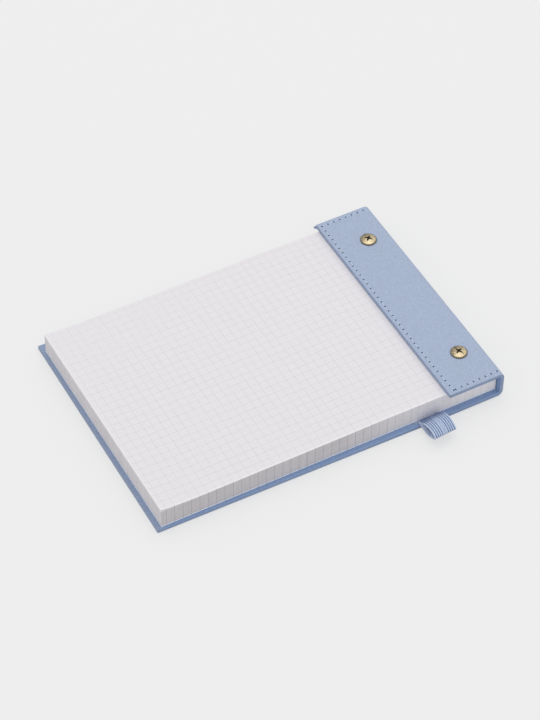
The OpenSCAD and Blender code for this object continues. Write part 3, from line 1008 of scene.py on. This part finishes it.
def block_mesh(settings):
    """The sheets as one closed block whose cut edges step a little from sheet to sheet."""
    xs = spread(PAGE_START, PAGE_START + 30 * MM, 2 * MM) \
        + spread(PAGE_START + 33 * MM, PAGE_END, 3.5 * MM)
    ys = spread(-PAGE_HALF, PAGE_HALF, 4 * MM)
    columns, rows = len(xs), len(ys)
    x, y = (a.ravel() for a in np.meshgrid(xs, ys))
    high = BLOCK_TOP + block_rise(x, y, settings)
    points = [*zip(x, y, np.full(len(x), PANEL)), *zip(x, y, high)]
    faces = grid_faces(rows, columns) + grid_faces(rows, columns, len(x))

    border = grid_border(rows, columns)
    edge_x, edge_y, edge_height = x[border], y[border], high[border] - PANEL
    out_x = 1.0 * (edge_x == xs[-1]) - (edge_x == xs[0])
    out_y = 1.0 * (edge_y == ys[-1]) - (edge_y == ys[0])
    previous = border
    for k in range(SHEET_STEPS):
        offset = settings.sheet_offset * noise.noise(Vector((k * 1.7, 0.3, 9.2)))
        draw = offset if k < SHEET_STEPS - 1 else 0
        for height in (k / SHEET_STEPS, (k + 1) / SHEET_STEPS):
            if 0 < height < 1:
                ring = list(range(len(points), len(points) + len(border)))
                points.extend(zip(edge_x + out_x * draw, edge_y + out_y * draw,
                                  PANEL + edge_height * height))
                faces += ring_faces(previous, ring)
                previous = ring
    faces += ring_faces(previous, [p + len(x) for p in border])
    return mesh_from("Squared paper block", points, faces, 25)


class NOTEBOOK_OT_paper(bpy.types.Operator):
    """Builds the block of squared sheets"""
    bl_idname = "notebook.paper"
    bl_label = "Paper block"

    def execute(self, context):
        settings = context.scene.notebook.paper
        block = new_object("squared_sheets", block_mesh(settings))
        block.data.materials.append(paper_material(settings))
        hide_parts("paper_block")
        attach(block, BODY)
        return {"FINISHED"}


class NOTEBOOK_OT_screws(bpy.types.Operator):
    """Finishes the binding screws and posts in antique brass"""
    bl_idname = "notebook.screws"
    bl_label = "Binding screws"

    def execute(self, context):
        brass = brass_material(context.scene.notebook.brass)
        paint("binding_screws", brass)
        paint("binding_posts", brass)
        return {"FINISHED"}


# The pen loop

# The outside of the loop, as how far each point lies from the block and how high above the inside of
# the back, in millimetres: the lower end, the turn along its two edges, and the upper end
LOWER_END = [(-11.9, -1), (-8, -1), (-4, -1), (-1.5, -0.98), (0.2, -0.8), (1.5, -0.05), (3.5, 0.02),
             (7, 0.02), (10, 0.06)]
NEAR_EDGE_TURN = [(13, 0.6), (15.6, 1.7), (17.6, 2.8), (18.95, 3.9), (19.35, 4.9), (18.85, 5.9),
                  (17.4, 6.6), (15.1, 6.95), (12.2, 6.5), (8.9, 5.3), (5.4, 3.2), (2.9, 1.9),
                  (1.2, 0.75), (0, 0.02)]
FAR_EDGE_TURN = [(12.6, 0.6), (14.9, 1.7), (16.6, 2.7), (17.9, 3.7), (18.4, 4.6), (18.1, 5.5),
                 (16.9, 6.5), (15.0, 7.2), (12.5, 7.3), (9.7, 6.8), (6.9, 5.6), (4.2, 4.1),
                 (2.2, 2.0), (0.3, 0.25)]
UPPER_END = [(-1.5, 0), (-4, 0), (-8, 0), (-11.9, 0)]

# The elastic where it is pressed in its seat, and the number of points over its width
PRESSED_THICKNESS = 0.5 * MM
LOOP_ROWS = 131

# How pale the inside of the loop is, from the groove's colour at 0 to the ribs' at 1
INSIDE_TONE = 0.8


def rib_height(u, count):
    """Height of the ribs over the width: 0 in a groove, 1 on a rib or rim, less on the band."""
    band_start, band_end, rim = 0.41, 0.60, 0.03
    if rim < u < band_start:
        t = (u - rim) / (band_start - rim)
    elif band_end < u < 1 - rim:
        t = (u - band_end) / (1 - rim - band_end)
    elif band_start <= u <= band_end:
        return 0.6 + 0.4 * abs(2 * (u - band_start) / (band_end - band_start) - 1) ** 8
    else:
        return 1.0
    return 0.5 + 0.5 * math.cos(2 * math.pi * (count * t))


def loop_mesh(settings):
    """The elastic strip: it leaves its seat in the back, turns over and goes back in."""
    near, far = (smooth_path(LOWER_END + turn + UPPER_END, 4) * MM
                 for turn in (NEAR_EDGE_TURN, FAR_EDGE_TURN))
    reach, columns = near[:, 0], len(near)

    # The ribs and the full thickness begin in front of the block, and the upper end has slipped
    ribbed = ramp(reach, 0.4 * MM, 2.4 * MM)
    extra = settings.thickness - PRESSED_THICKNESS
    thickness = PRESSED_THICKNESS + extra * ramp(reach, 0, 3 * MM)
    slip = (np.arange(columns) > columns // 2) * ramp(reach, 19 * MM, 0)
    left = LOOP_LOW.x + settings.slip * slip
    right = LOOP_HIGH.x - 0.7 * settings.slip * (1 - slip)
    outer, inner, ribs, shades = [], [], [], []
    for u in np.linspace(0, 1, LOOP_ROWS):
        line = near + (far - near) * ramp(u, -0.1, 1.0)
        slope = np.gradient(line, axis=0)
        normal = np.stack([slope[:, 1], -slope[:, 0]], axis=1)
        normal /= np.linalg.norm(normal, axis=1)[:, None]
        rib = rib_height(float(u), settings.rib_count)
        x = left + (right - left) * u
        for target, depth in ((outer, (1 - rib) * settings.rib_height * ribbed), (inner, thickness)):
            curve = line - normal * depth[:, None]
            target.append(np.stack([x, -PAGE_HALF - curve[:, 0], PANEL + curve[:, 1]], axis=1))
        ribs.append(np.full(columns, rib))
        # The colour darkens towards the root, where the block shades the loop: painted shade
        shades.append(ramp(line[:, 0], 2 * MM, 9 * MM))
    size = LOOP_ROWS * columns
    border = grid_border(LOOP_ROWS, columns)
    faces = grid_faces(LOOP_ROWS, columns) + grid_faces(LOOP_ROWS, columns, size)
    faces += ring_faces(border, [p + size for p in border])
    mesh = mesh_from("Elastic strip", np.concatenate(outer + inner), faces, 50)
    float_attribute(mesh, "rib", np.concatenate([*ribs, np.full(size, INSIDE_TONE)]))
    float_attribute(mesh, "root_shade", np.concatenate([*shades, np.ones(size)]))
    return mesh


class NOTEBOOK_OT_pen_loop(bpy.types.Operator):
    """Builds the ribbed elastic pen loop"""
    bl_idname = "notebook.pen_loop"
    bl_label = "Pen loop"

    def execute(self, context):
        settings = context.scene.notebook.loop
        loop = new_object("elastic_pen_loop", loop_mesh(settings))
        loop.data.materials.append(elastic_material(settings))
        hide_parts("pen_loop")
        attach(loop, BODY)
        return {"FINISHED"}


# The studio

def seen_directly(tree):
    """1 for rays from the camera and for those that metal or glass sends on, otherwise 0."""
    path = add(tree, "ShaderNodeLightPath").outputs
    return calc(tree, "MAXIMUM", path["Is Camera Ray"], path["Is Glossy Ray"],
                path["Is Transmission Ray"])


class NOTEBOOK_OT_stage(bpy.types.Operator):
    """Sets the pale floor, the soft light and the camera"""
    bl_idname = "notebook.stage"
    bl_label = "Stage"

    def execute(self, context):
        settings = context.scene.notebook.stage
        self.lay_floor(settings)
        self.light(context.scene, settings)
        self.place_camera(context.scene, settings)
        return {"FINISHED"}

    def lay_floor(self, settings):
        """A pale matt floor, which glows a little to the camera and keeps the object's shadow."""
        half, drop = 3.0, -0.05 * MM
        corners = [(-half, -half, drop), (half, -half, drop), (half, half, drop),
                   (-half, half, drop)]
        mesh = bpy.data.meshes.new("Floor")
        mesh.from_pydata(corners, [], [(0, 1, 2, 3)])
        floor = new_object("floor", mesh)
        made, tree, shader, _ = new_material("Pale floor")
        seen = seen_directly(tree)
        glow = settings.floor_glow
        shaded = tuple((1 - glow) * c for c in settings.floor_color)
        feed(tree, shader, {"Base Color": mix_color(tree, seen, settings.bounce_color, shaded),
                            "Emission Color": settings.floor_color,
                            "Emission Strength": calc(tree, "MULTIPLY", seen, glow),
                            "Roughness": 1.0, "Specular IOR Level": 0.0})
        mesh.materials.append(made)

    def light(self, scene, settings):
        """Even light from all round, and a large soft lamp overhead."""
        world = bpy.data.worlds.new("Studio")
        scene.world = world
        world.use_nodes = True
        tree = world.node_tree
        strength = add(tree, "ShaderNodeMix", {0: seen_directly(tree), 2: settings.sky_strength,
                                               3: settings.floor_color[0]}, data_type="FLOAT")
        feed(tree, tree.nodes["Background"], {"Color": (1, 1, 1), "Strength": strength.outputs[0]})

        side, height = 1.6, 1.7
        lamp = bpy.data.lights.new("Softbox", "AREA")
        lamp.shape, lamp.size = "SQUARE", side
        lamp.energy = settings.key_strength * math.pi ** 2 * height ** 2
        softbox = bpy.data.objects.new("softbox", lamp)
        softbox.location = (0.15, 0.35, height)
        softbox.rotation_euler = (Vector((0, 0, 0)) - softbox.location).to_track_quat(
            "-Z", "Y").to_euler()
        scene.collection.objects.link(softbox)
        scene.view_settings.view_transform = "Standard"

    def place_camera(self, scene, settings):
        """The camera, from its place, the direction it looks from and its roll."""
        lens = bpy.data.cameras.new("Camera")
        lens.lens, lens.sensor_width = settings.focal_length, 36
        lens.clip_start, lens.clip_end = 0.05, 20
        camera = bpy.data.objects.new("camera", lens)
        turn = Matrix.Rotation(settings.azimuth, 4, "Z")
        turn @= Matrix.Rotation(math.pi / 2 - settings.elevation, 4, "X")
        turn @= Matrix.Rotation(settings.roll, 4, "Z")
        camera.matrix_world = Matrix.Translation(settings.place) @ turn
        scene.collection.objects.link(camera)
        scene.camera = camera


class NOTEBOOK_PT_panel(bpy.types.Panel):
    """Lists the steps that build the notebook"""
    bl_idname = "NOTEBOOK_PT_panel"
    bl_label = "Refill Notebook"
    bl_space_type = "VIEW_3D"
    bl_region_type = "UI"
    bl_category = "Notebook"

    def draw(self, context):
        for step in STEPS:
            self.layout.operator(step.bl_idname)


SETTINGS = (CaseSettings, StitchSettings, PaperSettings, LoopSettings, BrassSettings,
            StageSettings, NotebookSettings)
STEPS = (NOTEBOOK_OT_case, NOTEBOOK_OT_stitching, NOTEBOOK_OT_paper, NOTEBOOK_OT_screws,
         NOTEBOOK_OT_pen_loop, NOTEBOOK_OT_stage)


def register():
    for item in (*SETTINGS, *STEPS, NOTEBOOK_PT_panel):
        bpy.utils.register_class(item)
    bpy.types.Scene.notebook = bpy.props.PointerProperty(type=NotebookSettings)


def unregister():
    del bpy.types.Scene.notebook
    for item in reversed((*SETTINGS, *STEPS, NOTEBOOK_PT_panel)):
        bpy.utils.unregister_class(item)


def main():
    """Builds the notebook and its studio."""
    register()
    grain_group()
    print_group()
    weave_group()
    bpy.ops.notebook.case()
    bpy.ops.notebook.stitching()
    bpy.ops.notebook.paper()
    bpy.ops.notebook.screws()
    bpy.ops.notebook.pen_loop()
    bpy.ops.notebook.stage()


if __name__ == "__main__":
    main()
